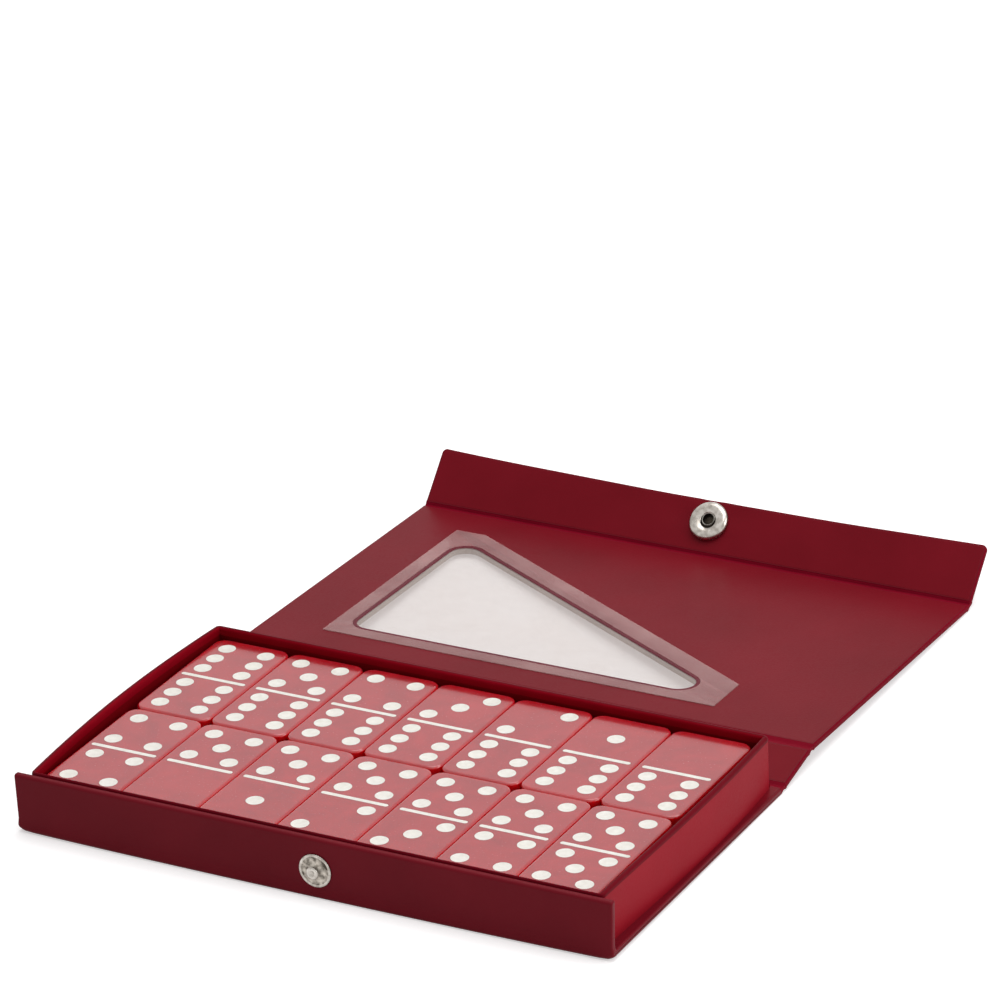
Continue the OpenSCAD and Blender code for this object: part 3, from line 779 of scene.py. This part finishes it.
PULL = 0.4 * MM          # the sagging flap draws its half of the snap this much towards the crease
AT_STUD = Matrix.Translation((SNAP_X, STUD_HIGH.y, SNAP_Z)) @ Matrix.Rotation(math.pi / 2, 4, "X")
AT_SOCKET = AT_FLAP @ Matrix.Translation((SNAP_X, SNAP_DROP - PULL, HALF_T))
UPSIDE_DOWN = Matrix.Rotation(math.pi, 4, "X")
AT_CAP = AT_FLAP @ Matrix.Translation((SNAP_X, SNAP_DROP - PULL, -HALF_T)) @ UPSIDE_DOWN
SNAP_SEGMENTS = 80
PETALS = 5               # soft petals pressed into the stud's flange
PETAL_H = 0.26 * MM      # how far they rise, and the hollows between them sink
PETAL_R, PETAL_W = 2.9 * MM, 1.4 * MM   # where they are highest, and how far they reach from there


def petals(r, angle):
    """Height of the petals at a place on the flange."""
    share = max(0.0, 1 - abs(r - PETAL_R) / PETAL_W)
    return PETAL_H * share * math.cos(PETALS * angle + 0.4)


def wear_second(bm, first_ring, last_ring):
    """Gives the rings of a lathed mesh, from the first to the last, its second material."""
    for i, face in enumerate(bm.faces):
        face.material_index = int(first_ring <= i // SNAP_SEGMENTS <= last_ring)


def stud():
    """A flange with a rolled edge, a neck and a head with a dimple."""
    top = (STUD_HIGH.y - STUD_LOW.y) / MM
    edge = [(0, 0), (4.7, 0), (4.88, 0.12), (4.9, 0.3), (4.75, 0.48), (4.45, 0.52)]
    dish = [(4.1, 0.44), (3.7, 0.34), (3.1, 0.34), (2.5, 0.42), (1.9, 0.6), (1.45, 0.85), (1.3, 1.1)]
    head = [(1.3, top - 0.62), (1.66, top - 0.52), (1.8, top - 0.3), (1.7, top - 0.1), (1.4, top),
            (0.95, top - 0.02), (0.6, top - 0.3), (0, top - 0.42)]
    bm = lathe(edge + dish + head, AT_STUD, SNAP_SEGMENTS, wobble=petals)
    # The dish between the rolled edge and the neck wears the painted dark reflections.
    wear_second(bm, len(edge), len(edge + dish) - 1)
    finish_mesh("stud", bm, "case_base", (NICKEL, DISH_REFLECTION), ["snap_stud"], 50)


def socket():
    """A ring with a rolled outer edge and a bore painted dark as shade, and a dark disc at the bore's bottom that
    stands in for the shade there.
    """
    roll = [(1.7, 0.02), (5.8, 0.02), (6.02, 0.2), (6.1, 0.6), (6.06, 1.05), (5.85, 1.45), (5.45, 1.77),
            (4.95, 1.94), (4.4, 2.0), (3.8, 1.98), (3.3, 1.9), (2.9, 1.78), (2.6, 1.64), (2.42, 1.5)]
    bore = [(2.34, 1.38), (2.31, 1.3), (2.3, 0.92), (2.3, 0.5), (2.3, 0.2), (1.7, 0.2)]
    bm = lathe(roll + bore, AT_SOCKET, SNAP_SEGMENTS, closed=True)
    wear_second(bm, len(roll), len(roll + bore))
    finish_mesh("socket", bm, "flap", (NICKEL, BORE_SHADE), ["snap_socket"], 50)
    # A dark disc at the bore's bottom, put there for the shade in the bore.
    shade_disc = [(0, 0.41), (1.72, 0.41), (1.75, 0.44), (1.7, 0.47), (0.9, 0.45), (0, 0.46)]
    finish_mesh("socket_shade_disc", lathe(shade_disc, AT_SOCKET, 40), "flap", BORE_SHADE)


def cap():
    """A smooth dome on the flap's outside."""
    dome = [(0, -0.2), (6.1, -0.2), (6.2, 0.0), (6.17, 0.18), (6.0, 0.4), (5.5, 0.66), (4.6, 0.9),
            (3.2, 1.09), (1.6, 1.17), (0, 1.2)]
    bm = lathe(dome, AT_CAP, SNAP_SEGMENTS)
    finish_mesh("cap", bm, "flap", CAP, ["snap_cap"], 50)


stud()
socket()
cap()


# ---- Materials on the solids that show as they are ----

for node in ("base_board", "front_board", "spine_board", "lid_board"):
    dress(node, BOARD)
# The tray's floor wears the inside's painted shade.
dress("tray_floor", TRAY_INSIDE_SHADE)
# The rivet, inside the socket's bore, wears the bore's painted shade.
dress("snap_rivet", BORE_SHADE)
dress("snap_spring", WIRE)
DOMINOES = sorted(n for n in frame["nodes"] if n.startswith("domino_"))
for node in DOMINOES:
    dress(node, RED)


# ---- Pips and grooves ----

PIP_R = 2.53 * MM
COLUMN = 6.35 * MM       # from a half's middle to its outer columns of pips
ROW = 6.8 * MM           # and to its outer rows
HALF_CENTRE = 11.7 * MM  # from the domino's middle to the middle of each half
GROOVE_L = 20.6 * MM
GROOVE_R = 0.76 * MM     # half the groove's width
GROOVE_LOW, GROOVE_HIGH = -0.3 * MM, 0.015 * MM   # the groove's enamel, from the domino's top
GROOVE_EDGE_R = 0.12 * MM
PAIR = [(1, 1), (-1, -1)]                         # the pips' columns and rows, for each number in turn
CORNERS = [(x, y) for x in (-1, 1) for y in (-1, 1)]
PLACES = [[], [(0, 0)], PAIR, PAIR + [(0, 0)], CORNERS, CORNERS + [(0, 0)], CORNERS + [(-1, 0), (1, 0)]]


def paint(node):
    """All the enamel on one domino, a hair above the plastic at its edges and hollow in its middle."""
    low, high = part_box(node)
    top = Vector(((low.x + high.x) / 2, (low.y + high.y) / 2, high.z))
    bar = rounded_loop([(x * GROOVE_L / 2, y * GROOVE_R, 0.99 * GROOVE_R)
                        for x, y in ((-1, -1), (1, -1), (1, 1), (-1, 1))])
    bm = slab([bar], GROOVE_LOW, GROOVE_HIGH, 0, GROOVE_EDGE_R, 3)
    bm.transform(Matrix.Translation(top))
    bowl = [(0.0, -0.45), (0.8, -0.4), (0.96, -0.12), (1.0, 0.0), (0.985, 0.02), (0.93, 0.01),
            (0.8, -0.05), (0.55, -0.12), (0.3, -0.16), (0.0, -0.17)]   # share of the radius, and mm up
    rear, front = SIDES[node]
    for number, side in ((rear, 1), (front, -1)):
        for column, row in PLACES[number]:
            at = top + Vector((column * COLUMN, side * HALF_CENTRE + row * ROW, 0))
            pip = lathe([(r * PIP_R / MM, h) for r, h in bowl], Matrix.Translation(at), 28)
            mesh = bpy.data.meshes.new("pip")
            pip.to_mesh(mesh)
            pip.free()
            bm.from_mesh(mesh)
            bpy.data.meshes.remove(mesh)
    finish_mesh(node.replace("domino", "enamel"), bm, BODY_OF[node], WHITE, (), 60)


def sides_of_all():
    """The numbers on each domino's rear and front half, as they lie in the case."""
    upper_rear = [(6 - c, 6) for c in range(7)]
    upper_front = [(4, 4)] + [(5, c) for c in range(6)]
    rest = [(a, b) for a in range(4, -1, -1) for b in range(a, -1, -1)][1:]
    return {f"domino_{max(d)}_{min(d)}": d for d in upper_rear + upper_front + rest}


SIDES = sides_of_all()
for node in DOMINOES:
    paint(node)


# ---- Studio ----

CAMERA_AT = Vector((696.1, -1202.7, 714.3)) * MM
AZIMUTH, ELEVATION, ROLL = (math.radians(a) for a in (28.826, 24.121, -2.329))
FOCAL_PIXELS = 5709
PHOTO_PIXELS = 1000
SENSOR = 36.0


def make_camera():
    data = bpy.data.cameras.new("camera")
    data.sensor_width = SENSOR
    data.lens = SENSOR * FOCAL_PIXELS / PHOTO_PIXELS
    data.clip_start, data.clip_end = 0.05, 50
    camera = bpy.data.objects.new("camera", data)
    bpy.context.scene.collection.objects.link(camera)
    back = Vector((math.sin(AZIMUTH) * math.cos(ELEVATION), -math.cos(AZIMUTH) * math.cos(ELEVATION),
                   math.sin(ELEVATION)))
    level = (-back).to_track_quat("-Z", "Y")
    turned = level @ Matrix.Rotation(ROLL, 3, "Z").to_quaternion()
    camera.matrix_world = Matrix.LocRotScale(CAMERA_AT, turned, None)
    bpy.context.scene.camera = camera


def seen_directly(tree):
    """1 for camera, glossy and transmission rays, and 0 for the rays that light the object."""
    path = tree.nodes.new("ShaderNodeLightPath")
    first = tree.nodes.new("ShaderNodeMath")
    first.operation = "MAXIMUM"
    tree.links.new(path.outputs["Is Camera Ray"], first.inputs[0])
    tree.links.new(path.outputs["Is Glossy Ray"], first.inputs[1])
    second = tree.nodes.new("ShaderNodeMath")
    second.operation = "MAXIMUM"
    tree.links.new(first.outputs["Value"], second.inputs[0])
    tree.links.new(path.outputs["Is Transmission Ray"], second.inputs[1])
    return second.outputs["Value"]


def make_world(ambient):
    world = bpy.data.worlds.new("studio")
    bpy.context.scene.world = world
    world.use_nodes = True
    tree = world.node_tree
    background = tree.nodes["Background"]
    background.inputs["Color"].default_value = (1, 1, 1, 1)
    tree.links.new(spread(tree, seen_directly(tree), 0, 1, ambient, 1.0), background.inputs["Strength"])


def make_floor(glow):
    """Pale floor: it takes the object's shadow, and glows a little where it is seen."""
    bm = bmesh.new()
    bmesh.ops.create_grid(bm, x_segments=1, y_segments=1, size=3.0)
    mesh = bpy.data.meshes.new("floor")
    bm.to_mesh(mesh)
    bm.free()
    floor = bpy.data.objects.new("floor", mesh)
    bpy.context.scene.collection.objects.link(floor)
    material, tree, bsdf = new_material("floor")
    bsdf.inputs["Base Color"].default_value = (0.8, 0.8, 0.8, 1)
    bsdf.inputs["Roughness"].default_value = 0.9
    bsdf.inputs["Specular IOR Level"].default_value = 0.0
    bsdf.inputs["Emission Color"].default_value = (1, 1, 1, 1)
    tree.links.new(spread(tree, seen_directly(tree), 0, 1, 0, glow), bsdf.inputs["Emission Strength"])
    floor.data.materials.append(material)


def make_lamp(name, at, size, power, aim=(0, 0.06, 0)):
    data = bpy.data.lights.new(name, "AREA")
    data.shape = "RECTANGLE"
    data.size, data.size_y = size
    data.energy = power
    lamp = bpy.data.objects.new(name, data)
    bpy.context.scene.collection.objects.link(lamp)
    lamp.location = at
    lamp.rotation_euler = (Vector(aim) - Vector(at)).to_track_quat("-Z", "Y").to_euler()


make_camera()
make_world(0.45)
make_floor(0.45)
make_lamp("top", (0.1, 0.3, 1.3), (1.2, 1.2), 12)
make_lamp("right", (1.3, 0.2, 0.7), (0.8, 0.8), 7)
bpy.context.scene.view_settings.view_transform = "Standard"
